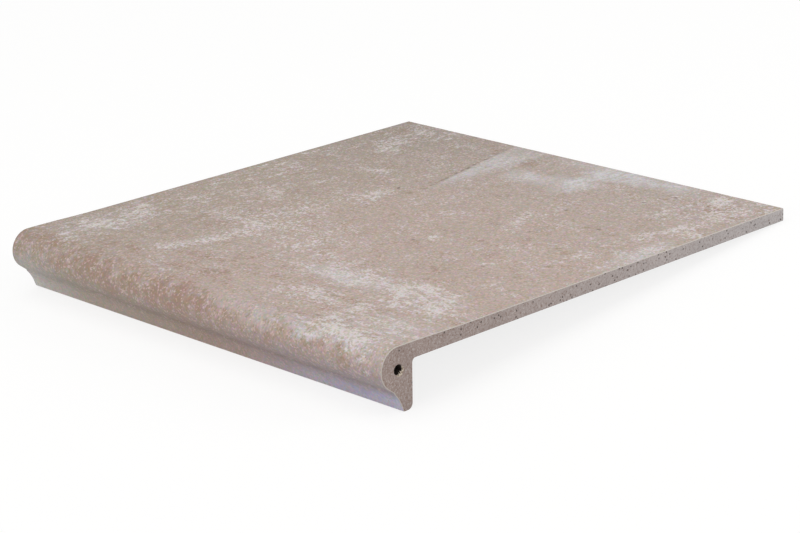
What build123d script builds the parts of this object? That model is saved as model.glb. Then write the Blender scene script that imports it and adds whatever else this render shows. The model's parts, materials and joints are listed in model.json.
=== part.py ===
from build123d import *
import os
from math import asin, atan2, cos, degrees, radians, sin, tan

# Stair tread tile: one extruded and fired stoneware piece. A flat plate ends in a rounded nose,
# and a lip hangs from the nose to cover the edge of the step below.
# Sizes are millimetres. The section is drawn level: first number back from the nose's front,
# second number up from the tread. The tile runs along X.

# Plate
tile_length = 330.0  # along the nose
tread_depth = 342.5  # front of the nose to the back edge
plate_at_lip = 9.1  # thickness just behind the lip
plate_at_back = 8.0  # the plate thins towards the back edge
arris_radius = 0.5  # worn-off sharpness of the back edge

# Nose
nose_radius = 12.6
nose_crown = 0.7  # the nose stands this much above the flat of the tread
crown_back = 16.0  # where the crown starts to fall
crown_foot = 68.0  # where the tread becomes flat
core_radius = 3.1  # hole left by the die's core pin
core_back = 12.7
core_down = 12.8

# Return under the nose, a small step and a cove down to the lip
return_slope = 38.0  # degrees below level
return_run = 5.5
step_slope = 65.0
step_drop = 1.3
step_radius = 0.8
cove_slope = 47.0
cove_radius = 22.0

# Lip
lip_depth = 37.5  # tread to the bottom of the foot
lip_front_slope = 70.0
lip_back = 23.4  # back face of the lip, measured at the underside of the plate
lip_lean = 1.8  # degrees that the back face leans towards the nose as it goes down
toe_radius = 1.0
heel_radius = 3.6
inner_radius = 2.4  # fillet between the lip and the plate


def heading(slope):
    """Unit step back and down at a slope in degrees below level."""
    return Vector(cos(radians(slope)), -sin(radians(slope)))


def rounding_centre(corner, before, after, radius):
    """Centre of the arc that rounds a corner between two straight sides."""
    to_before = (before - corner).normalized()
    to_after = (after - corner).normalized()
    half_angle = radians(to_before.get_angle(to_after)) / 2
    return corner + (to_before + to_after).normalized() * (radius / sin(half_angle))


# Points of the section, from the nose round the lip to the back edge
nose_centre = Vector(nose_radius, nose_crown - nose_radius)
return_start = nose_centre - Vector(sin(radians(return_slope)), cos(radians(return_slope))) * nose_radius
step_top = return_start + heading(return_slope) * return_run
step_foot = step_top + heading(step_slope) * step_drop
cove_turn = lip_front_slope - cove_slope
cove_chord = heading((cove_slope + lip_front_slope) / 2) * (2 * cove_radius * sin(radians(cove_turn / 2)))
cove_foot = step_foot + cove_chord
toe = Vector(cove_foot.X + (cove_foot.Y + lip_depth) / tan(radians(lip_front_slope)), -lip_depth)
inner_corner = Vector(lip_back, -plate_at_lip)
heel = Vector(lip_back - (lip_depth - plate_at_lip) * tan(radians(lip_lean)), -lip_depth)
back_bottom = Vector(tread_depth, -plate_at_back)
back_top = Vector(tread_depth, 0)
crown_middle = Vector((crown_back + crown_foot) / 2, nose_crown / 2)

# Extruded section
with BuildPart() as level_tile:
    with BuildSketch(Plane.YZ) as section:
        with BuildLine():
            Line((crown_back, nose_crown), (nose_centre.X, nose_crown))
            CenterArc(nose_centre, nose_radius, 90, 180 - return_slope)
            FilletPolyline(return_start, step_top, step_foot, radius=step_radius)
            JernArc(step_foot, heading(cove_slope), cove_radius, -cove_turn)
            FilletPolyline(
                cove_foot, toe, heel, inner_corner, back_bottom, back_top, (crown_foot, 0),
                radius=[toe_radius, heel_radius, inner_radius, arris_radius, arris_radius],
            )
            crown_ease = TangentArc((crown_foot, 0), crown_middle, tangent=(-1, 0))
            TangentArc(crown_middle, (crown_back, nose_crown), tangent=crown_ease % 1)
        make_face()
        with Locations((core_back, -core_down)):
            Circle(core_radius, mode=Mode.SUBTRACT)
    extrude(amount=tile_length / 2, both=True)

# Set down as it lies on a level floor: on the heel of the lip and the bottom of the back edge
heel_centre = rounding_centre(heel, toe, inner_corner, heel_radius)
edge_centre = rounding_centre(back_bottom, inner_corner, back_top, arris_radius)
span = edge_centre - heel_centre
rest_tilt = degrees(atan2(span.Y, span.X) + asin((heel_radius - arris_radius) / span.length))
resting_tile = level_tile.part.rotate(Axis.X, -rest_tilt)
extent = resting_tile.bounding_box()
resting_tile = resting_tile.translate((0, -(extent.min.Y + extent.max.Y) / 2, -extent.min.Z))

os.makedirs("parts", exist_ok=True)
export_step(resting_tile, "parts/stair_tread_tile.step")
print("rest tilt", round(rest_tilt, 3), "size", extent.size)
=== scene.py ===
import bpy
import bmesh
import json
from functools import partial
from math import atan2, cos, radians, sin, tan
from mathutils import Matrix, Vector, noise


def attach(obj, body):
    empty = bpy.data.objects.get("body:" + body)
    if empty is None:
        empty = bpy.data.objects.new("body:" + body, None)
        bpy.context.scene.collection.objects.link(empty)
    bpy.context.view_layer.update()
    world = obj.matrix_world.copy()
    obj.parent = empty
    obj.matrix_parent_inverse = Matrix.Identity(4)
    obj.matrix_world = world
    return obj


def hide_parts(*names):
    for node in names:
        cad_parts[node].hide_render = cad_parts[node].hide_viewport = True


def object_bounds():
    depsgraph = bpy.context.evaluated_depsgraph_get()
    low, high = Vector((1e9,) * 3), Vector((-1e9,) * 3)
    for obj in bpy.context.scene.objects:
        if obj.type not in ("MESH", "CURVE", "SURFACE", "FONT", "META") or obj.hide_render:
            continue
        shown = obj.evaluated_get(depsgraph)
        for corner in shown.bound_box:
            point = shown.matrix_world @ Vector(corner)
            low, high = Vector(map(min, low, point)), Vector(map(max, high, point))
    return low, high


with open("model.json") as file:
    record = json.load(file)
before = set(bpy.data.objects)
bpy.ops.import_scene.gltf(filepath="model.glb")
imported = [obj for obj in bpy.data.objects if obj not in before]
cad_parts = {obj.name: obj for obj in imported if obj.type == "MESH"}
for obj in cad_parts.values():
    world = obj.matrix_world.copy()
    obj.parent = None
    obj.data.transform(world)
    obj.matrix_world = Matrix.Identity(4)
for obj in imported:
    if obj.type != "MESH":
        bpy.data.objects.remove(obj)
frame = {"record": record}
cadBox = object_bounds()

# The tile is drawn level, as it is laid: x along the nose, y back from the front of the nose,
# z up from the tread. The frame holds it as it lies on a floor, nose up and tipped back.
section = {  # mm, and degrees below level for the slopes
    "length": 330.0,
    "depth": 342.5,
    "plateAtLip": 9.1,
    "plateAtBack": 8.0,
    "noseRadius": 12.6,
    "noseCrown": 0.7,
    "crownBack": 16.0,
    "crownFoot": 68.0,
    "returnSlope": 38.0,
    "returnRun": 5.5,
    "stepSlope": 65.0,
    "stepDrop": 1.3,
    "coveSlope": 47.0,
    "coveRadius": 22.0,
    "lipFrontSlope": 70.0,
    "lipDepth": 37.5,
    "lipBack": 23.4,
    "lipLean": 1.8,
    "stepRadius": 0.8,
    "toeRadius": 1.0,
    "heelRadius": 3.6,
    "innerRadius": 2.4,
    "backArris": 0.5,
    "backEdgeMiddle": 4.0,
    "coreRadius": 3.1,
    "coreBack": 12.7,
    "coreDown": 12.8,
}

backEdge = {mount["name"]: mount for mount in frame["record"]["mounts"]}["back_edge"]
tipAngle = -atan2(backEdge["axis"][2], backEdge["axis"][1])
tipped = Matrix.Rotation(-tipAngle, 4, "X")
edgeLevel = Vector((0, section["depth"], -section["backEdgeMiddle"])) / 1000
levelToFrame = Matrix.Translation(Vector(backEdge["pos_m"]) - tipped @ edgeLevel) @ tipped


def hexColour(code):
    channels = [int(code[i:i + 2], 16) / 255 for i in (1, 3, 5)]
    return [c / 12.92 if c <= 0.04045 else ((c + 0.055) / 1.055) ** 2.4 for c in channels] + [1.0]


def perMm(size):
    return 1000 / size  # texture scale that gives a pattern of this size in mm


def addNode(tree, kind, sockets=None, **settings):
    made = tree.nodes.new(kind)
    for name, value in settings.items():
        setattr(made, name, value)
    for name, value in (sockets or {}).items():
        shown = [s for s in made.inputs if s.enabled and s.name == name]
        socket = shown[0] if shown else made.inputs[name]
        if isinstance(value, bpy.types.Node):
            value = [s for s in value.outputs if s.enabled][0]
        if isinstance(value, bpy.types.NodeSocket):
            tree.links.new(value, socket)
        else:
            socket.default_value = value
    return made


def newMaterial(name):
    material = bpy.data.materials.new(name)
    material.use_nodes = True
    material.node_tree.nodes.clear()
    return material, material.node_tree


def linkObject(name, data):
    obj = bpy.data.objects.new(name, data)
    bpy.context.scene.collection.objects.link(obj)
    return obj


# Camera: the photograph's, fitted to the tile's straight edges
camera = {
    "aim": (66.3, 109.9, 0.0),  # mm, a point of the level tread
    "distance": 1507.2,
    "azimuth": 46.58,
    "elevation": 18.08,
    "roll": 2.06,
    "lens": 116.58,
    "farEnd": 20,  # m
}


def placeCamera():
    data = bpy.data.cameras.new("photoCamera")
    data.lens = camera["lens"]
    data.clip_end = camera["farEnd"]
    obj = linkObject("photoCamera", data)
    aim = Matrix.Translation(Vector(camera["aim"]) / 1000)
    turn = Matrix.Rotation(radians(camera["azimuth"]), 4, "Z")
    tilt = Matrix.Rotation(radians(90 - camera["elevation"]), 4, "X")
    back = Matrix.Translation((0, 0, camera["distance"] / 1000))
    roll = Matrix.Rotation(radians(-camera["roll"]), 4, "Z")
    obj.matrix_world = levelToFrame @ aim @ turn @ tilt @ back @ roll
    bpy.context.scene.camera = obj


# Studio: an even pale dome, a broad lamp above, low ones in front and at the right, and a floor
# that reads white
studio = {
    "dome": 0.56,
    "lamps": {  # place in m, size in m, watts
        "overheadLamp": ((-0.3, -0.3, 2.3), 2.2, 19),
        "frontLamp": ((-0.3, -1.9, 0.35), 1.4, 8),
        "sideLamp": ((1.3, 0.8, 0.55), 0.9, 6.5),
    },
    "floorSize": 12,
    "floorPaint": "#efeeec",
    "shadowShare": 0.22,  # how much of the floor's shadow the camera sees
    "whiteFloor": 1.05,
}


def areaLamp(name, place, size, power):
    data = bpy.data.lights.new(name, "AREA")
    data.shape = "DISK"
    data.size = size
    data.energy = power
    obj = linkObject(name, data)
    obj.location = place
    obj.rotation_euler = (-Vector(place)).to_track_quat("-Z", "Y").to_euler()


def lightStudio():
    world = bpy.data.worlds.new("paleStudio")
    bpy.context.scene.world = world
    world.use_nodes = True
    tree = world.node_tree
    tree.nodes.clear()
    add = partial(addNode, tree)
    ray = add("ShaderNodeLightPath")
    seen = add("ShaderNodeMath", {
        0: ray.outputs["Is Camera Ray"], 1: ray.outputs["Is Glossy Ray"]}, operation="MAXIMUM")
    dome = add("ShaderNodeBackground", {"Color": (1, 1, 1, 1), "Strength": studio["dome"]})
    white = add("ShaderNodeBackground", {"Color": (1, 1, 1, 1), "Strength": 1.0})
    add("ShaderNodeOutputWorld", {"Surface": add("ShaderNodeMixShader", {0: seen, 1: dome, 2: white})})
    for name, (place, size, power) in studio["lamps"].items():
        areaLamp(name, place, size, power)


def layFloor():
    mesh = bpy.data.meshes.new("floor")
    bm = bmesh.new()
    bmesh.ops.create_grid(bm, x_segments=1, y_segments=1, size=studio["floorSize"] / 2)
    bm.to_mesh(mesh)
    bm.free()
    material, tree = newMaterial("paleFloorPaint")
    add = partial(addNode, tree)
    ray = add("ShaderNodeLightPath")
    paint = add("ShaderNodeBsdfDiffuse", {"Color": hexColour(studio["floorPaint"])})
    white = add("ShaderNodeEmission", {"Color": (1, 1, 1, 1), "Strength": studio["whiteFloor"]})
    share = add("ShaderNodeMath", {
        0: ray.outputs["Is Camera Ray"], 1: 1 - studio["shadowShare"]}, operation="MULTIPLY")
    add("ShaderNodeOutputMaterial", {"Surface": add("ShaderNodeMixShader", {0: share, 1: paint, 2: white})})
    mesh.materials.append(material)
    linkObject("floor", mesh)


# Tile: its section is drawn with straight runs and swings, its corners are rounded, and it is
# drawn out along x as the clay is through the die
tileMesh = {
    "alongSteps": 110,
    "flatCuts": 90,
    "noseSteps": 44,
    "easeSteps": 8,
    "coveSteps": 8,
    "cornerSteps": 5,
    "coreSteps": 64,
    "mouthWear": 0.4,  # mm, the worn edge of the core hole's mouths
    "mouthRagged": 0.3,
    "raggedPerMetre": 900,
    "rightChip": 0.55,  # what the cut tore out at the lower back of the right mouth
    "rightCrumbs": 2.1,  # the crumbs of it that still hang in the mouth
    "crumbsPerMetre": 3100,
    "crumbFill": 0.35,  # more gives crumbs that run together
    "tornWithin": 0.3,  # cosine of the angle from the chip's middle
    "endArris": 0.35,  # mm
    "sharpAngle": 30,
    "frontWithin": 0.02,  # mm, how near a vertex must be to count as the nose's front or the lip's foot
    "endWithin": 0.001,  # mm, and to count as on the end
}
materialOrder = ["glaze", "glazeRimHighlight", "body", "coreWallShade", "tornClayHighlight"]


def heading(slope):
    return Vector((0, cos(radians(slope)), -sin(radians(slope)))) / 1000


def drawSection(bm, x):
    s = section

    def at(back, up):
        return Vector((x, back / 1000, up / 1000))

    chain = [bm.verts.new(at(s["depth"], -s["backEdgeMiddle"]))]

    def lineTo(point):
        new = bmesh.ops.extrude_vert_indiv(bm, verts=[chain[-1]])["verts"][0]
        new.co = point
        chain.append(new)
        return new

    def swing(centre, angle, steps):
        made = bmesh.ops.spin(bm, geom=[chain[-1]], cent=centre, axis=(1, 0, 0), angle=angle, steps=steps,
                              use_duplicate=False, use_merge=False)
        end = [v for v in made["geom_last"] if isinstance(v, bmesh.types.BMVert)][0]
        chain.append(end)

    halfEase = (s["crownFoot"] - s["crownBack"]) / 2
    easeRadius = (halfEase ** 2 + (s["noseCrown"] / 2) ** 2) / s["noseCrown"]
    easeAngle = 2 * atan2(s["noseCrown"] / 2, halfEase)
    backTop = lineTo(at(s["depth"], 0))
    lineTo(at(s["crownFoot"], 0))
    swing(at(s["crownFoot"], easeRadius), -easeAngle, tileMesh["easeSteps"])
    swing(at(s["crownBack"], s["noseCrown"] - easeRadius), easeAngle, tileMesh["easeSteps"])
    lineTo(at(s["noseRadius"], s["noseCrown"]))
    swing(at(s["noseRadius"], s["noseCrown"] - s["noseRadius"]), radians(180 - s["returnSlope"]),
          tileMesh["noseSteps"])
    stepTop = lineTo(chain[-1].co + heading(s["returnSlope"]) * s["returnRun"])
    lineTo(chain[-1].co + heading(s["stepSlope"]) * s["stepDrop"])
    coveTurn = s["lipFrontSlope"] - s["coveSlope"]
    swing(chain[-1].co + heading(s["coveSlope"] + 90) * s["coveRadius"], -radians(coveTurn),
          tileMesh["coveSteps"])
    coveFoot = chain[-1].co * 1000
    toeBack = coveFoot.y + (coveFoot.z + s["lipDepth"]) / tan(radians(s["lipFrontSlope"]))
    toe = lineTo(at(toeBack, -s["lipDepth"]))
    lipFall = s["lipDepth"] - s["plateAtLip"]
    heel = lineTo(at(s["lipBack"] - lipFall * tan(radians(s["lipLean"])), -s["lipDepth"]))
    inner = lineTo(at(s["lipBack"], -s["plateAtLip"]))
    backBottom = lineTo(at(s["depth"], -s["plateAtBack"]))
    bm.edges.new((chain[-1], chain[0]))

    rounded = {  # corner: its radius, and how far the outline turns there
        backTop: (s["backArris"], 90),
        stepTop: (s["stepRadius"], s["stepSlope"] - s["returnSlope"]),
        toe: (s["toeRadius"], s["lipFrontSlope"]),
        heel: (s["heelRadius"], 90 - s["lipLean"]),
        inner: (s["innerRadius"], 90 - s["lipLean"]),
        backBottom: (s["backArris"], 90),
    }
    for corner, (radius, turn) in rounded.items():
        bmesh.ops.bevel(bm, geom=[corner], offset=radius * tan(radians(turn / 2)) / 1000,
                        offset_type="OFFSET", segments=tileMesh["cornerSteps"], profile=0.5,
                        affect="VERTICES", material=-1)
    flats = sorted(bm.edges, key=lambda e: e.calc_length())[-2:]  # the tread and the underside
    bmesh.ops.subdivide_edges(bm, edges=flats, cuts=tileMesh["flatCuts"])
    backMiddle = at(s["depth"], -s["backEdgeMiddle"])
    return min(bm.verts, key=lambda v: (v.co - backMiddle).length)


def measureSection(start, along):
    # the way round the outline from the back top corner, kept on each vertex, and where the main
    # places come
    s = section
    edge = max(start.link_edges, key=lambda e: e.other_vert(start).co.z)
    vert, way, places = start, -s["backEdgeMiddle"] / 1000, {}
    arcFoot = s["noseRadius"] * (1 + cos(radians(s["returnSlope"]))) - s["noseCrown"]
    stepDown = -(arcFoot + s["returnRun"] * sin(radians(s["returnSlope"])))  # mm, the step's top edge
    while not places or vert != start:
        vert[along] = way
        places.setdefault("start", way)
        if vert.co.y * 1000 < s["noseRadius"]:
            places.setdefault("noseTop", way)
        if vert.co.y * 1000 < tileMesh["frontWithin"]:
            places.setdefault("noseFront", way)
        if vert.co.z * 1000 < stepDown:
            places.setdefault("stepTop", way)
        if vert.co.z * 1000 < tileMesh["frontWithin"] - s["lipDepth"]:
            places.setdefault("toe", way)
        way += edge.calc_length()
        vert = edge.other_vert(vert)
        edge = [e for e in vert.link_edges if e != edge][0]
    return places


def capEnd(bm, x, outwards):
    within = tileMesh["endWithin"] / 1000
    outer = [e for e in bm.edges if e.is_boundary and all(abs(v.co.x - x) < within for v in e.verts)]
    cap = bmesh.ops.contextual_create(bm, geom=outer)["faces"]
    arris = tileMesh["endArris"] / 1000
    chamfer = bmesh.ops.inset_region(bm, faces=cap, thickness=arris, depth=0, use_even_offset=True)["faces"]
    bmesh.ops.translate(bm, vec=(outwards * arris, 0, 0), verts=cap[0].verts[:])
    outline = cap[0].edges[:]
    bmesh.ops.delete(bm, geom=cap, context="FACES_ONLY")
    middle = (x + outwards * arris, section["coreBack"] / 1000, -section["coreDown"] / 1000)
    mouth = bmesh.ops.create_circle(bm, cap_ends=False, segments=tileMesh["coreSteps"],
                                    radius=section["coreRadius"] / 1000,
                                    matrix=Matrix.Translation(middle) @ Matrix.Rotation(radians(90), 4, "Y"))
    mouthEdges = list({e for v in mouth["verts"] for e in v.link_edges})
    filled = bmesh.ops.triangle_fill(bm, use_beauty=True, use_dissolve=False, edges=outline + mouthEdges,
                                     normal=(outwards, 0, 0))
    flat = [f for f in filled["geom"] if isinstance(f, bmesh.types.BMFace)]
    return {"chamfer": chamfer, "cap": flat, "mouth": mouthEdges}


def boreCore(bm, ends):
    axis = Vector((0, section["coreBack"] / 1000, -section["coreDown"] / 1000))
    chipWay = Vector((0, 1, -1)).normalized()
    inner = []
    for side, end in zip((-1, 1), ends):
        for vert in {v for e in end["mouth"] for v in e.verts}:  # the clay tears a little where it was cut
            out = ((vert.co - axis) * Vector((0, 1, 1))).normalized()
            ragged = noise.noise(vert.co * tileMesh["raggedPerMetre"])
            tear = tileMesh["mouthWear"] + tileMesh["mouthRagged"] * ragged
            if side == 1:
                tear += tileMesh["rightChip"] * max(0, out.dot(chipWay)) ** 2
            vert.co += out * tear / 1000
        ring = bmesh.ops.extrude_edge_only(bm, edges=end["mouth"])["geom"]
        verts = [v for v in ring if isinstance(v, bmesh.types.BMVert)]
        for vert in verts:
            out = (vert.co - axis) * Vector((0, 1, 1))
            bore = section["coreRadius"]
            if side == 1:
                crumb = tileMesh["crumbFill"] + noise.noise(vert.co * tileMesh["crumbsPerMetre"])
                crumb *= max(0, out.normalized().dot(chipWay))
                bore -= tileMesh["rightCrumbs"] * max(0, crumb)
            vert.co -= out.normalized() * (out.length - bore / 1000)
        bmesh.ops.translate(bm, verts=verts, vec=(-side * tileMesh["mouthWear"] / 1000, 0, 0))
        for face in {f for v in verts for f in v.link_faces}:
            middle = (face.calc_center_median() - axis) * Vector((0, 1, 1))
            if side == 1 and middle.normalized().dot(chipWay) > tileMesh["tornWithin"]:
                face.material_index = materialOrder.index("tornClayHighlight")
        inner += [e for e in ring if isinstance(e, bmesh.types.BMEdge)]
    wall = bmesh.ops.bridge_loops(bm, edges=inner)["faces"]
    # the bore's wall is painted dark: painted shade
    for face in wall:
        face.material_index = materialOrder.index("coreWallShade")


def buildTile():
    bm = bmesh.new()
    along = bm.verts.layers.float.new("wayRound")
    arris = tileMesh["endArris"] / 1000
    halfDrawn = section["length"] / 2000 - arris
    start = drawSection(bm, -halfDrawn)
    places = measureSection(start, along)
    stepAlong = 2 * halfDrawn / tileMesh["alongSteps"]
    bmesh.ops.spin(bm, geom=bm.verts[:] + bm.edges[:], cent=(0, 0, 0), axis=(1, 0, 0), angle=0,
                   dvec=(stepAlong, 0, 0), steps=tileMesh["alongSteps"],
                   use_duplicate=False, use_merge=False)
    ends = [capEnd(bm, side * halfDrawn, side) for side in (-1, 1)]
    boreCore(bm, ends)
    bmesh.ops.recalc_face_normals(bm, faces=bm.faces[:])
    print("tile faces", len(bm.faces), "places", {name: round(way, 4) for name, way in places.items()})

    unrolled = bm.loops.layers.uv.new("unrolled")  # metres: along the nose, and the way round the section
    chamfers = set(ends[0]["chamfer"] + ends[1]["chamfer"])
    caps = set(ends[0]["cap"] + ends[1]["cap"])
    for face in bm.faces:
        ways = [vert[along] for vert in face.verts]
        onGlaze = face not in caps and min(ways) >= 0 and max(ways) <= places["toe"] and max(ways) > 0
        if face.material_index < materialOrder.index("coreWallShade"):
            kind = "body" if not onGlaze else "glazeRimHighlight" if face in chamfers else "glaze"
            face.material_index = materialOrder.index(kind)
        face.smooth = True
        for loop in face.loops:
            loop[unrolled].uv = (loop.vert.co.x, loop.vert[along])
    bmesh.ops.transform(bm, matrix=levelToFrame, verts=bm.verts[:])
    mesh = bpy.data.meshes.new("stairTreadTile")
    bm.to_mesh(mesh)
    bm.free()
    mesh.set_sharp_from_angle(angle=radians(tileMesh["sharpAngle"]))
    tile = linkObject("stairTreadTile", mesh)
    materials = {
        "glaze": mattStoneGlaze(places), "glazeRimHighlight": glazeRimPaintedHighlight(), "body": cutStoneware(),
        "coreWallShade": coreWallPaintedShade(), "tornClayHighlight": tornStonewareHighlight()}
    for kind in materialOrder:
        mesh.materials.append(materials[kind])
    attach(tile, "root")
    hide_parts("stair_tread_tile")


noiseSpan = (0.3, 0.7)  # most of a noise texture lies between these

# Glaze: sprayed matt stoneware glaze with a weathered-stone decor. It reads as warm beige with a
# soft sheen and no reflections: grainy, mottled brown, and clouded and flecked with whitish grey
glaze = {
    "groundLeft": "#a5988b",
    "groundRight": "#b7a59a",
    "backLeft": "#9a8f84",
    "backRight": "#b0a298",
    # a painted lilac reflection on the lip's right end
    "paintedLipReflection": "#a5a3bf",
    "brown": "#987a6a",
    "lilac": "#b6a8ab",
    "creamGrain": "#d2c8c1",
    "darkGrain": "#8b7263",
    "veil": "#cbc9ca",
    "pale": "#dbd4d1",
    "speckAndStepShade": "#5f544b",
    "warmthLeft": -0.2,  # how far the ground has turned to its right end's colour
    "warmthRight": 0.8,
    "warmthDrift": 0.4,
    "warmFrom": 20,  # mm along the nose from its middle
    "backTonesFrom": 150,  # mm from the back edge
    "backTonesWhole": 20,
    "driftSize": 110,  # mm
    "mottleSize": 16,
    "hazeSize": 24,
    "tintSize": 5,
    "gritSize": 1.05,  # finer on the tile, drawn this coarse so that it shows
    "fleckSize": 3.5,
    "streakLength": 2.6,  # how much longer than wide the flecks are where they are wiped
    "warpSize": 20,
    "warpBy": 7,
    "roughness": 0.68,
    "specular": 0.25,
    "grainRelief": 0.06,
}

# Ground below the nose, darker than on the tread, and lilac at the right end, where it is a painted
# reflection: x in mm, colour
underNose = [(-165, "#b5b4b1"), (-105, "#a1978d"), (0, "#9d8c83"), (60, "#a19291"), (165, "#9d959b")]
underNoseTonesAndShade = {
    "startsAbove": 7,  # mm round the section from the front of the nose
    "wholeBelow": 10,
    "share": 0.85,
    # a value ramp: painted shade on the return and painted light down the lip
    "paintedShadeAtStep": 0.93,
    "paintedLightAtToe": 1.56,
    "reflectionAlong": (50, 150),  # mm from the middle: where the lip's painted lilac reflection starts, and where it is whole
    "reflectionRound": (-1, 7),  # mm round the section from the step
    "reflectionShare": 0.9,
    "brownMost": 0.3,
    "paleShare": 0.4,
    "grainShare": 0.7,
}

# How much each field counts in a tone, and the range of their sum in which the tone comes in
brownMix = {
    "base": -0.85, "mottle": 0.9, "strokes": 0.3, "tint": 0.6, "grit": 0.2,
    "from": 0.02, "whole": 0.40, "most": 0.8,
}
lilacMix = {
    "base": 0.50, "mottle": -0.4, "tint": -0.8, "grit": 0.2,
    "from": 0.02, "whole": 0.30, "most": 0.75,
}
fleckMix = {
    "base": -0.975, "haze": 0.7, "strokes": 0.34, "grit": 0.25, "onNose": -0.15,
    "from": 0.10, "whole": 0.36, "most": 0.8,
    "noseRound": (-3, 6),  # mm round the section from the top of the nose
}
fleckWipe = {  # mm: where the flecks start to be wiped, and where they are wholly so
    "alongNose": ((-10, 50), (220, 250)),  # along, and from the back edge
    "downTread": (-80, -120),
}
cloudMix = {"strokes": 0.95, "fainter": 0.45, "stronger": 1.45}
grains = {"tint": 0.15, "from": 0.80, "whole": 0.92, "most": 0.36}
darkMarks = {
    "speckFrom": 0.05, "speckWhole": 0.8, "speckMost": 0.6,
    "lineFrom": 0.46, "lineWhole": 0.60, "lineMost": 0.8,
    # painted shade in the step's crease
    "stepShadeRound": (5.0, 0.5),  # mm from the step
    "stepShadeAlong": (-110, 0),
    "stepShadeMost": 0.12,
    "endAlong": (1.6, 0.4),  # mm from the left end
    "endMost": 0.4,
}

# Strokes of the decor, mm and degrees: x, way from the back edge, half length, half width, angle, strength
paleClouds = [
    (45, 8, 44, 18, 0, 0.95),
    (32, 34, 38, 17, 88, 1.0),
    (-5, 51, 24, 15, 10, 0.8),
    (14, 44, 30, 14, 0, 0.35),
    (84, 10, 36, 14, 0, 0.60),
    (0, 6, 26, 10, 0, 0.35),
    (160, 128, 40, 14, 88, 0.70),
    (-66, 274, 34, 7, 112, 0.35),
    (55, 268, 44, 12, 4, 0.75),
    (110, 262, 60, 15, 3, 0.25),
    (103, 341, 24, 5, 0, 0.60),
    (140, 318, 50, 24, 8, 0.25),
    (140, 340, 60, 10, 0, 0.25),
    # this stroke on the lip's right end is painted light
    (125, 379, 80, 7, 0, 1.3),
    (-137, 292, 50, 22, 88, 0.25),
    (62, 338, 60, 10, 0, 0.32),
    (125, 336, 60, 8, 0, 0.22),
    (150, 300, 30, 20, 0, 0.25),
]
paleFlecks = [
    (146, 30, 60, 34, 88, 0.68),
    (130, 16, 20, 14, 60, 0.50),
    (116, 36, 50, 18, 88, 0.40),
    (100, 10, 30, 14, 0, 0.25),
    (154, 78, 30, 17, 60, 0.45),
    (139, 92, 56, 10, 106, 0.75),
    (158, 130, 36, 16, 90, 0.80),
    (132, 156, 26, 10, 96, 0.85),
    (95, 266, 105, 24, 3, 0.90),
    (112, 250, 34, 7, 0, 0.55),
    (110, 322, 90, 34, 0, 0.50),
    (140, 342, 60, 14, 0, 0.70),
    (70, 296, 70, 16, 0, 0.40),
    (-137, 290, 56, 24, 88, 0.62),
    (-140, 250, 60, 26, 90, 0.30),
    (-64, 277, 40, 13, 112, 0.78),
    (-46, 244, 26, 16, 0, 0.30),
    (-90, 101, 14, 14, 0, 0.80),
    (-113, 113, 6, 6, 0, 0.70),
    (-50, 140, 28, 10, 65, 0.85),
    (-58, 150, 16, 10, 0, 0.55),
    (-100, 145, 8, 8, 0, 0.95),
    (-130, 40, 56, 22, 88, 0.55),
    (-100, 22, 28, 10, 88, 0.45),
    (-150, 130, 110, 22, 90, 0.25),
    (41, 182, 5, 5, 0, 0.8),
    (104, 194, 8, 6, 0, 0.95),
    (58, 124, 30, 9, 65, 0.75),
    (78, 58, 6, 6, 0, 1.1),
    (32, 80, 5, 5, 0, 0.9),
    (90, 166, 10, 10, 0, 0.75),
    (-45, 220, 90, 44, 0, 0.42),
    (-90, 190, 70, 70, 0, 0.30),
    (20, 245, 70, 30, 0, 0.35),
    (150, 300, 26, 20, 0, 0.50),
    (-36, 329, 8, 6, 0, 0.7),
    (-68, 354, 8, 4, 0, 0.6),
    (118, 334, 70, 14, 0, 0.68),
]
brownMottles = [
    (-150, 335, 34, 18, 0, 1.1),
    (-95, 339, 50, 18, 0, 0.9),
    (-28, 339, 50, 13, 0, 0.7),
    (12, 341, 30, 12, 0, 0.7),
    (0, 347, 200, 14, 0, 0.7),
    (-45, 351, 110, 9, 0, 0.5),
    (140, 351, 70, 7, 0, 0.3),
    (-20, 318, 70, 18, 0, 0.55),
    (90, 226, 60, 20, 0, 0.30),
    (60, 292, 90, 10, 0, 0.55),
    (100, 312, 70, 6, 4, 0.55),
    (120, 325, 50, 5, 0, 0.5),
    (138, 26, 46, 30, 0, 0.7),
    (-90, 250, 26, 40, 0, 0.35),
    (-95, 318, 40, 20, 0, 0.45),
    (-25, 28, 24, 6, 80, 0.9),
    (-63, 18, 10, 4, 70, 0.9),
    (-25, 290, 50, 34, 0, 0.45),
    (30, 372, 110, 10, 0, 0.5),
    (105, 364, 30, 8, 0, 0.4),
]
darkSpecks = [
    (100, 25, 2.6, 1.6, 20, 1.2),
    (91, 45, 2.2, 1.4, 0, 1.1),
    (65, 88, 2.2, 1.6, 60, 1.2),
    (107, 105, 2.4, 1.6, 0, 1.2),
    (78, 135, 2.0, 1.5, 0, 1.0),
    (53, 110, 2.0, 1.4, 0, 1.0),
    (-51, 120, 3.6, 1.5, 50, 1.4),
    (-48, 60, 2.8, 1.4, 75, 1.2),
    (35, 191, 2.8, 1.4, 0, 1.0),
    (103, 201, 2.2, 1.4, 0, 0.9),
    (95, 323, 2.4, 1.5, 0, 1.0),
    (-82, 63, 2.2, 1.4, 0, 1.0),
]

# The broad wiped mark at the back. Its edges: x in mm at the back edge, and how they lean
wipedMark = {
    "leftEdge": (-63.0, 0.235),
    "rightEdge": (-22.0, -0.06),
    "leftSoft": 3.5,  # mm
    "rightSoft": 14.0,
    "faintTo": 34.0,  # it is fainter at the back edge
    "faintShare": 0.35,
    "wholeTo": 72.0,
    "goneBy": 135.0,
    "share": 0.6,
    "lineFrom": 8.0,
    "lineTo": 124.0,
    "lineWidth": 2.0,
    "lineWholeOver": 0.6,  # of its length
}


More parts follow.
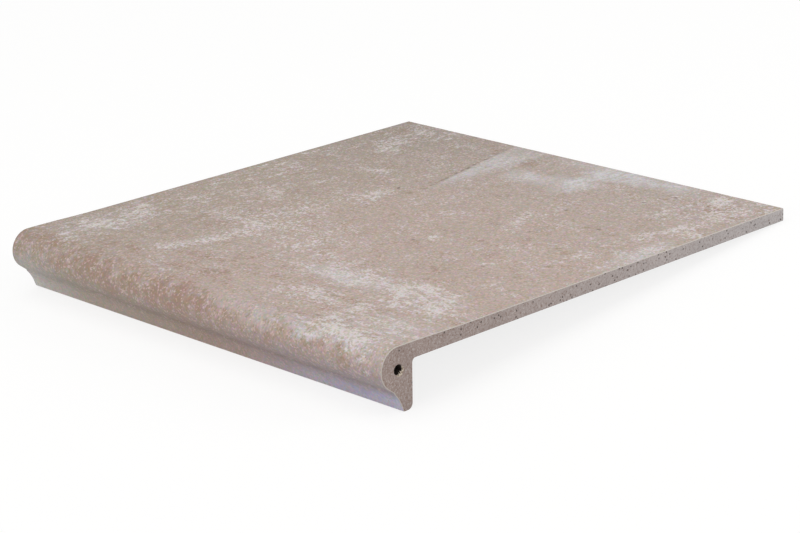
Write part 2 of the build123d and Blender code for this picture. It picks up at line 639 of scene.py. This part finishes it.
def paintStrokes(add, place, strokes):
    total = 0.0
    for x, way, halfLength, halfWidth, angle, strength in strokes:
        local = add("ShaderNodeMapping", {
            "Vector": place, "Location": (x / 1000, way / 1000, 0), "Rotation": (0, 0, radians(angle)),
            "Scale": (halfLength / 1000, halfWidth / 1000, 1)}, vector_type="TEXTURE")
        spot = add("ShaderNodeTexGradient", {"Vector": local}, gradient_type="SPHERICAL")
        total = add("ShaderNodeMath", {0: spot.outputs["Fac"], 1: strength, 2: total},
                    operation="MULTIPLY_ADD")
    return total


def wipedShare(add, along, way):
    w = wipedMark
    band = []
    for (x, lean), soft, side in ((w["leftEdge"], w["leftSoft"], 1), (w["rightEdge"], -w["rightSoft"], -1)):
        across = add("ShaderNodeMath", {0: way, 1: -lean, 2: along}, operation="MULTIPLY_ADD")
        band.append(add("ShaderNodeMapRange", {
            "Value": across, "From Min": x / 1000, "From Max": (x + soft) / 1000},
            interpolation_type="SMOOTHSTEP"))
        if side == 1:
            off = add("ShaderNodeMath", {0: across, 1: x / 1000}, operation="SUBTRACT")
    fade = add("ShaderNodeMapRange", {
        "Value": way, "From Min": w["goneBy"] / 1000, "From Max": w["wholeTo"] / 1000, "To Max": w["share"]},
        interpolation_type="SMOOTHSTEP")
    rise = add("ShaderNodeMapRange", {
        "Value": way, "From Max": w["faintTo"] / 1000, "To Min": w["faintShare"]})
    both = add("ShaderNodeMath", {0: band[0], 1: band[1]}, operation="MULTIPLY")
    both = add("ShaderNodeMath", {0: both, 1: rise}, operation="MULTIPLY")
    share = add("ShaderNodeMath", {0: both, 1: fade}, operation="MULTIPLY")
    near = add("ShaderNodeMapRange", {
        "Value": add("ShaderNodeMath", {0: off}, operation="ABSOLUTE"), "From Min": w["lineWidth"] / 1000,
        "From Max": 0.0}, interpolation_type="SMOOTHSTEP")
    middle = (w["lineFrom"] + w["lineTo"]) / 2000
    half = (w["lineTo"] - w["lineFrom"]) / 2000
    away = add("ShaderNodeMath", {0: way, 1: middle}, operation="SUBTRACT")
    away = add("ShaderNodeMath", {0: away}, operation="ABSOLUTE")
    inside = add("ShaderNodeMapRange", {
        "Value": away, "From Min": half, "From Max": half * w["lineWholeOver"]},
        interpolation_type="SMOOTHSTEP")
    line = add("ShaderNodeMath", {0: near, 1: inside}, operation="MULTIPLY")
    return share, line


def mattStoneGlaze(places):
    material, tree = newMaterial("mattStoneGlaze")
    add = partial(addNode, tree)
    g = glaze
    halfLength = section["length"] / 2000
    place = add("ShaderNodeUVMap", uv_map="unrolled")
    split = add("ShaderNodeSeparateXYZ", {0: place})
    along, way = split.outputs["X"], split.outputs["Y"]

    # the decor wanders, so that its strokes have torn edges
    wander = add("ShaderNodeTexNoise", {
        "Vector": place, "Scale": perMm(g["warpSize"]), "Detail": 5.0, "Roughness": 0.7},
        noise_dimensions="2D")
    offset = add("ShaderNodeVectorMath", {0: wander.outputs["Color"], 1: (0.5, 0.5, 0.5)},
                 operation="SUBTRACT")
    reach = 4 * g["warpBy"] / 1000  # the noise strays about a quarter to each side
    wandered = add("ShaderNodeVectorMath", {0: offset, 1: (reach, reach, 0), 2: place},
                   operation="MULTIPLY_ADD")

    # ground: greyer at the left end and at the back, pinker over the rest, drifting between
    drift = add("ShaderNodeTexNoise", {"Vector": place, "Scale": perMm(g["driftSize"]), "Detail": 2.0},
                noise_dimensions="2D")
    rightwards = add("ShaderNodeMapRange", {
        "Value": along, "From Min": -halfLength, "From Max": g["warmFrom"] / 1000,
        "To Min": g["warmthLeft"], "To Max": g["warmthRight"]})
    warmth = add("ShaderNodeMath", {0: drift, 1: g["warmthDrift"], 2: rightwards},
                 operation="MULTIPLY_ADD", use_clamp=True)
    backwards = add("ShaderNodeMapRange", {
        "Value": way, "From Min": g["backTonesFrom"] / 1000, "From Max": g["backTonesWhole"] / 1000})
    grounds = [add("ShaderNodeMix", {"Factor": warmth, "A": hexColour(g[left]), "B": hexColour(g[right])},
                   data_type="RGBA")
               for left, right in (("groundLeft", "groundRight"), ("backLeft", "backRight"))]
    colour = add("ShaderNodeMix", {"Factor": backwards, "A": grounds[0], "B": grounds[1]}, data_type="RGBA")

    # below the nose: a darker ground, with painted shade darkest on the return, painted light paler again
    # down the lip, and a painted lilac reflection on the lip's right end
    t = underNoseTonesAndShade
    below = add("ShaderNodeMapRange", {
        "Value": way, "From Min": places["noseFront"] - t["startsAbove"] / 1000,
        "From Max": places["noseFront"] + t["wholeBelow"] / 1000}, interpolation_type="SMOOTHSTEP")
    ramp = add("ShaderNodeValToRGB", {"Fac": add("ShaderNodeMapRange", {
        "Value": along, "From Min": -halfLength, "From Max": halfLength})})
    for x, shade in underNose[1:-1]:
        ramp.color_ramp.elements.new(x / section["length"] + 0.5)
    for stop, (x, shade) in zip(ramp.color_ramp.elements, underNose):
        stop.color = hexColour(shade)
    paintedLipShading = add("ShaderNodeMapRange", {
        "Value": way, "From Min": places["stepTop"], "From Max": places["toe"],
        "To Min": t["paintedShadeAtStep"], "To Max": t["paintedLightAtToe"]})
    # the lip's right end takes a painted lilac reflection
    reflectionStart, reflectionWhole = [places["stepTop"] + mm / 1000 for mm in t["reflectionRound"]]
    onLip = add("ShaderNodeMapRange", {"Value": way, "From Min": reflectionStart, "From Max": reflectionWhole})
    rightEnd = add("ShaderNodeMapRange", {
        "Value": along, "From Min": t["reflectionAlong"][0] / 1000, "From Max": t["reflectionAlong"][1] / 1000,
        "To Max": t["reflectionShare"]})
    share = add("ShaderNodeMath", {0: onLip, 1: rightEnd}, operation="MULTIPLY")
    undersideShaded = add("ShaderNodeMix", {
        "Factor": share, "A": ramp.outputs["Color"], "B": hexColour(g["paintedLipReflection"])}, data_type="RGBA")
    undersideShaded = add("ShaderNodeHueSaturation", {"Value": paintedLipShading, "Color": undersideShaded})
    share = add("ShaderNodeMath", {0: below, 1: t["share"]}, operation="MULTIPLY")
    colour = add("ShaderNodeMix", {"Factor": share, "A": colour, "B": undersideShaded}, data_type="RGBA")

    # mottling, brown and lilac, with the grit of the sprayed glaze in it
    mottle = add("ShaderNodeTexNoise", {
        "Vector": wandered, "Scale": perMm(g["mottleSize"]), "Detail": 6.0, "Roughness": 0.68},
        noise_dimensions="2D")
    tint = add("ShaderNodeTexNoise", {
        "Vector": place, "Scale": perMm(g["tintSize"]), "Detail": 4.0, "Roughness": 0.7},
        noise_dimensions="2D")
    cells = add("ShaderNodeTexVoronoi", {"Vector": place, "Scale": perMm(g["gritSize"])},
                voronoi_dimensions="2D")
    grit = add("ShaderNodeSeparateColor", {0: cells.outputs["Color"]})
    b = brownMix
    field = add("ShaderNodeMath", {0: mottle, 1: b["mottle"], 2: b["base"]}, operation="MULTIPLY_ADD")
    strokes = paintStrokes(add, wandered, brownMottles)
    for part, weight in ((strokes, b["strokes"]), (tint, b["tint"]), (grit.outputs["Green"], b["grit"])):
        field = add("ShaderNodeMath", {0: part, 1: weight, 2: field}, operation="MULTIPLY_ADD")
    most = add("ShaderNodeMapRange", {"Value": below, "To Min": b["most"], "To Max": t["brownMost"]})
    share = add("ShaderNodeMapRange", {
        "Value": field, "From Min": b["from"], "From Max": b["whole"], "To Max": most},
        interpolation_type="SMOOTHSTEP")
    colour = add("ShaderNodeMix", {"Factor": share, "A": colour, "B": hexColour(g["brown"])},
                 data_type="RGBA")
    m = lilacMix
    field = add("ShaderNodeMath", {0: mottle, 1: m["mottle"], 2: m["base"]}, operation="MULTIPLY_ADD")
    for part, weight in ((tint, m["tint"]), (grit.outputs["Red"], m["grit"])):
        field = add("ShaderNodeMath", {0: part, 1: weight, 2: field}, operation="MULTIPLY_ADD")
    share = add("ShaderNodeMapRange", {
        "Value": field, "From Min": m["from"], "From Max": m["whole"], "To Max": m["most"]},
        interpolation_type="SMOOTHSTEP")
    colour = add("ShaderNodeMix", {"Factor": share, "A": colour, "B": hexColour(g["lilac"])},
                 data_type="RGBA")

    # whitish clouds and flecks, wiped along the nose at the right front and down the tread at the left
    wiped, line = wipedShare(add, along, way)
    flecks = []
    for stretch in ((1, 1, 1), (1 / g["streakLength"], 1, 1), (1, 1 / g["streakLength"], 1)):
        drawn = add("ShaderNodeVectorMath", {0: place, 1: stretch}, operation="MULTIPLY")
        flecks.append(add("ShaderNodeTexNoise", {
            "Vector": drawn, "Scale": perMm(g["fleckSize"]), "Detail": 4.0, "Roughness": 0.7},
            noise_dimensions="2D"))
    zones = []
    for axis, (start, whole) in zip((along, way, along), (*fleckWipe["alongNose"], fleckWipe["downTread"])):
        zones.append(add("ShaderNodeMapRange", {
            "Value": axis, "From Min": start / 1000, "From Max": whole / 1000}))
    rightFront = add("ShaderNodeMath", {0: zones[0], 1: zones[1]}, operation="MULTIPLY")
    fleck = add("ShaderNodeMix", {"Factor": rightFront, "A": flecks[0], "B": flecks[1]})
    fleck = add("ShaderNodeMix", {"Factor": zones[2], "A": fleck, "B": flecks[2]})
    haze = add("ShaderNodeTexNoise", {
        "Vector": place, "Scale": perMm(g["hazeSize"]), "Detail": 5.0, "Roughness": 0.65},
        noise_dimensions="2D")
    f = fleckMix
    noseStart, noseWhole = [places["noseTop"] + mm / 1000 for mm in f["noseRound"]]
    onNose = add("ShaderNodeMapRange", {"Value": way, "From Min": noseStart, "From Max": noseWhole})
    strokes = paintStrokes(add, wandered, paleFlecks)
    field = add("ShaderNodeMath", {0: fleck, 1: f["base"]}, operation="ADD")
    for part, weight in ((haze, f["haze"]), (strokes, f["strokes"]), (grit.outputs["Blue"], f["grit"]),
                         (onNose, f["onNose"])):
        field = add("ShaderNodeMath", {0: part, 1: weight, 2: field}, operation="MULTIPLY_ADD")
    fleckShare = add("ShaderNodeMapRange", {
        "Value": field, "From Min": f["from"], "From Max": f["whole"], "To Max": f["most"]},
        interpolation_type="SMOOTHSTEP")
    streaks = add("ShaderNodeMapRange", {
        "Value": flecks[2], "From Min": noiseSpan[0], "From Max": noiseSpan[1],
        "To Min": cloudMix["fainter"], "To Max": cloudMix["stronger"]})
    clouds = paintStrokes(add, wandered, paleClouds)
    clouds = add("ShaderNodeMath", {0: clouds, 1: cloudMix["strokes"], 2: wiped}, operation="MULTIPLY_ADD")
    cloudShare = add("ShaderNodeMath", {0: clouds, 1: streaks}, operation="MULTIPLY", use_clamp=True)
    kept = add("ShaderNodeMath", {0: below, 1: t["paleShare"] - 1, 2: 1.0}, operation="MULTIPLY_ADD")
    for cover, shade in ((cloudShare, "veil"), (fleckShare, "pale")):
        share = add("ShaderNodeMath", {0: cover, 1: kept}, operation="MULTIPLY")
        colour = add("ShaderNodeMix", {"Factor": share, "A": colour, "B": hexColour(g[shade])},
                     data_type="RGBA")

    # grit: every grain has its own tint, and some are pale or dark
    colour = add("ShaderNodeMix", {"Factor": grains["tint"], "A": colour, "B": cells.outputs["Color"]},
                 data_type="RGBA", blend_type="OVERLAY")
    most = add("ShaderNodeMapRange", {
        "Value": below, "To Min": grains["most"], "To Max": grains["most"] * t["grainShare"]})
    for shade, channel in (("creamGrain", "Red"), ("darkGrain", "Green")):
        share = add("ShaderNodeMapRange", {
            "Value": grit.outputs[channel], "From Min": grains["from"], "From Max": grains["whole"],
            "To Max": most})
        colour = add("ShaderNodeMix", {"Factor": share, "A": colour, "B": hexColour(g[shade])},
                     data_type="RGBA")

    # small dark specks, and the broken line along the wiped mark's left edge
    d = darkMarks
    broken = add("ShaderNodeMapRange", {
        "Value": tint, "From Min": d["lineFrom"], "From Max": d["lineWhole"], "To Max": d["lineMost"]})
    brokenLine = add("ShaderNodeMath", {0: line, 1: broken}, operation="MULTIPLY")
    specks = paintStrokes(add, place, darkSpecks)
    specks = add("ShaderNodeMath", {0: specks, 1: brokenLine}, operation="MAXIMUM")
    speckShare = add("ShaderNodeMapRange", {
        "Value": specks, "From Min": d["speckFrom"], "From Max": d["speckWhole"], "To Max": d["speckMost"]})

    # painted shade as a faint dark line along the step's crease, and a dark strip along the left end's edge
    offStep = add("ShaderNodeMath", {0: way, 1: places["stepTop"]}, operation="SUBTRACT")
    offStep = add("ShaderNodeMath", {0: offStep}, operation="ABSOLUTE")
    stepShadeMost = add("ShaderNodeMapRange", {
        "Value": along, "From Min": d["stepShadeAlong"][0] / 1000, "From Max": d["stepShadeAlong"][1] / 1000,
        "To Max": d["stepShadeMost"]})
    paintedStepShade = add("ShaderNodeMapRange", {
        "Value": offStep, "From Min": d["stepShadeRound"][0] / 1000, "From Max": d["stepShadeRound"][1] / 1000,
        "To Max": stepShadeMost}, interpolation_type="SMOOTHSTEP")
    endStart, endWhole = [mm / 1000 - halfLength for mm in d["endAlong"]]
    endEdge = add("ShaderNodeMapRange", {
        "Value": along, "From Min": endStart, "From Max": endWhole, "To Max": d["endMost"]})
    darkShare = add("ShaderNodeMath", {0: speckShare, 1: paintedStepShade}, operation="MAXIMUM")
    darkShare = add("ShaderNodeMath", {0: darkShare, 1: endEdge}, operation="MAXIMUM")
    colour = add("ShaderNodeMix", {"Factor": darkShare, "A": colour, "B": hexColour(g["speckAndStepShade"])},
                 data_type="RGBA")

    relief = add("ShaderNodeBump", {"Distance": g["grainRelief"] / 1000, "Height": tint})
    shader = add("ShaderNodeBsdfPrincipled", {
        "Base Color": colour, "Roughness": g["roughness"], "Specular IOR Level": g["specular"],
        "Normal": relief})
    add("ShaderNodeOutputMaterial", {"Surface": shader})
    return material


# Glaze rim: the glaze thins where it breaks over the cut ends, and its pale line there is a painted highlight
# on the arris
glazeRimHighlight = {"colour": "#c3bcb4", "roughness": 0.5}


def glazeRimPaintedHighlight():
    material, tree = newMaterial("glazeRimPaintedHighlight")
    add = partial(addNode, tree)
    shader = add("ShaderNodeBsdfPrincipled", {
        "Base Color": hexColour(glazeRimHighlight["colour"]), "Roughness": glazeRimHighlight["roughness"]})
    add("ShaderNodeOutputMaterial", {"Surface": shader})
    return material


# Body: bare stoneware, wire-cut and fired. Dry and dull, grey-beige with fine grog and pores,
# warmer at the nose; darker at the nose and paler toward the back is painted light
body = {
    "atNoseShaded": "#9d8c86",
    "atBackLit": "#b5b0b0",
    "grogDark": "#80695d",
    "grogPale": "#bdb5b1",
    "pore": "#40362f",
    "grogSize": 1.4,  # mm, finer in the clay, drawn this coarse so that it shows
    "grogPaleRange": (0.52, 0.64),
    "grogDarkRange": (0.48, 0.36),
    "grogShare": 0.85,
    "cloudSize": 25,
    "cloudValues": (0.93, 1.07),
    "poreSpacing": 2.8,
    "poreEdge": (0.26, 0.14),  # from a pore's middle, in spacings
    "closedAtNose": 0.99,  # the share of the places that have no pore
    "closedAtBack": 0.45,
    "poreShare": 0.85,
    "relief": 0.12,  # mm
    "roughness": 0.9,
    "specular": 0.3,
}


def cutStoneware():
    material, tree = newMaterial("cutStoneware")
    add = partial(addNode, tree)
    b = body
    place = add("ShaderNodeTexCoord").outputs["Object"]
    back = add("ShaderNodeSeparateXYZ", {0: place}).outputs["Y"]
    # darker at the nose and paler toward the back: painted light
    backwards = add("ShaderNodeMapRange", {
        "Value": back, "From Min": cadBox[0][1], "From Max": cadBox[1][1]})
    colour = add("ShaderNodeMix", {
        "Factor": backwards, "A": hexColour(b["atNoseShaded"]), "B": hexColour(b["atBackLit"])}, data_type="RGBA")
    grog = add("ShaderNodeTexNoise", {
        "Vector": place, "Scale": perMm(b["grogSize"]), "Detail": 4.0, "Roughness": 0.9})
    for shade in ("grogPale", "grogDark"):
        start, whole = b[shade + "Range"]
        share = add("ShaderNodeMapRange", {
            "Value": grog, "From Min": start, "From Max": whole, "To Max": b["grogShare"]},
            interpolation_type="SMOOTHSTEP")
        colour = add("ShaderNodeMix", {"Factor": share, "A": colour, "B": hexColour(b[shade])},
                     data_type="RGBA")
    cloud = add("ShaderNodeTexNoise", {"Vector": place, "Scale": perMm(b["cloudSize"]), "Detail": 3.0})
    value = add("ShaderNodeMapRange", {
        "Value": cloud, "From Min": noiseSpan[0], "From Max": noiseSpan[1],
        "To Min": b["cloudValues"][0], "To Max": b["cloudValues"][1]})
    colour = add("ShaderNodeHueSaturation", {"Value": value, "Color": colour})
    # pores: their dark colour is painted shade in the pits, and they dip in the bump
    cells = add("ShaderNodeTexVoronoi", {"Vector": place, "Scale": perMm(b["poreSpacing"])})
    near = add("ShaderNodeMapRange", {
        "Value": cells.outputs["Distance"], "From Min": b["poreEdge"][0], "From Max": b["poreEdge"][1]})
    pick = add("ShaderNodeSeparateColor", {0: cells.outputs["Color"]})
    closed = add("ShaderNodeMapRange", {
        "Value": backwards, "To Min": b["closedAtNose"], "To Max": b["closedAtBack"]})
    picked = add("ShaderNodeMath", {0: pick, 1: closed}, operation="GREATER_THAN")
    pores = add("ShaderNodeMath", {0: near, 1: picked}, operation="MULTIPLY")
    share = add("ShaderNodeMath", {0: pores, 1: b["poreShare"]}, operation="MULTIPLY")
    colour = add("ShaderNodeMix", {"Factor": share, "A": colour, "B": hexColour(b["pore"])}, data_type="RGBA")
    height = add("ShaderNodeMath", {0: grog, 1: pores}, operation="SUBTRACT")
    relief = add("ShaderNodeBump", {"Distance": b["relief"] / 1000, "Height": height})
    shader = add("ShaderNodeBsdfPrincipled", {
        "Base Color": colour, "Roughness": b["roughness"], "Specular IOR Level": b["specular"],
        "Normal": relief})
    add("ShaderNodeOutputMaterial", {"Surface": shader})
    return material


# Core wall: the skin that the die's core pin drew, painted dark as the shade deep in the hole
coreWallShade = {"near": "#4a3f38", "deep": "#2f2824", "streakSize": 1.2, "roughness": 0.85}


def coreWallPaintedShade():
    material, tree = newMaterial("coreWallPaintedShade")
    add = partial(addNode, tree)
    place = add("ShaderNodeTexCoord").outputs["Object"]
    streaks = add("ShaderNodeTexNoise", {
        "Vector": place, "Scale": perMm(coreWallShade["streakSize"]), "Detail": 2.0})
    colour = add("ShaderNodeMix", {
        "Factor": streaks, "A": hexColour(coreWallShade["near"]), "B": hexColour(coreWallShade["deep"])},
        data_type="RGBA")
    shader = add("ShaderNodeBsdfPrincipled", {"Base Color": colour, "Roughness": coreWallShade["roughness"]})
    add("ShaderNodeOutputMaterial", {"Surface": shader})
    return material


# Torn clay: where the wire pulled the clay instead of cutting it. Rough, with pale crumbs that are a painted
# highlight where the chipped rim catches the light
tornClayHighlight = {
    "crumb": "#cfc2b1",
    "hollow": "#8d7a6a",
    "crumbSize": 0.9,  # mm
    "crumbRange": (0.42, 0.55),
    "relief": 0.2,  # mm
    "roughness": 0.95,
}


def tornStonewareHighlight():
    material, tree = newMaterial("tornStonewareHighlight")
    add = partial(addNode, tree)
    t = tornClayHighlight
    place = add("ShaderNodeTexCoord").outputs["Object"]
    crumbs = add("ShaderNodeTexNoise", {"Vector": place, "Scale": perMm(t["crumbSize"]), "Detail": 2.0})
    share = add("ShaderNodeMapRange", {
        "Value": crumbs, "From Min": t["crumbRange"][0], "From Max": t["crumbRange"][1]})
    colour = add("ShaderNodeMix", {
        "Factor": share, "A": hexColour(t["hollow"]), "B": hexColour(t["crumb"])}, data_type="RGBA")
    relief = add("ShaderNodeBump", {"Distance": t["relief"] / 1000, "Height": crumbs})
    shader = add("ShaderNodeBsdfPrincipled", {
        "Base Color": colour, "Roughness": t["roughness"], "Normal": relief})
    add("ShaderNodeOutputMaterial", {"Surface": shader})
    return material


bpy.context.scene.view_settings.view_transform = "Standard"
placeCamera()
lightStudio()
layFloor()
print("camera, lamps and floor are in place")
buildTile()
print("tile is built")
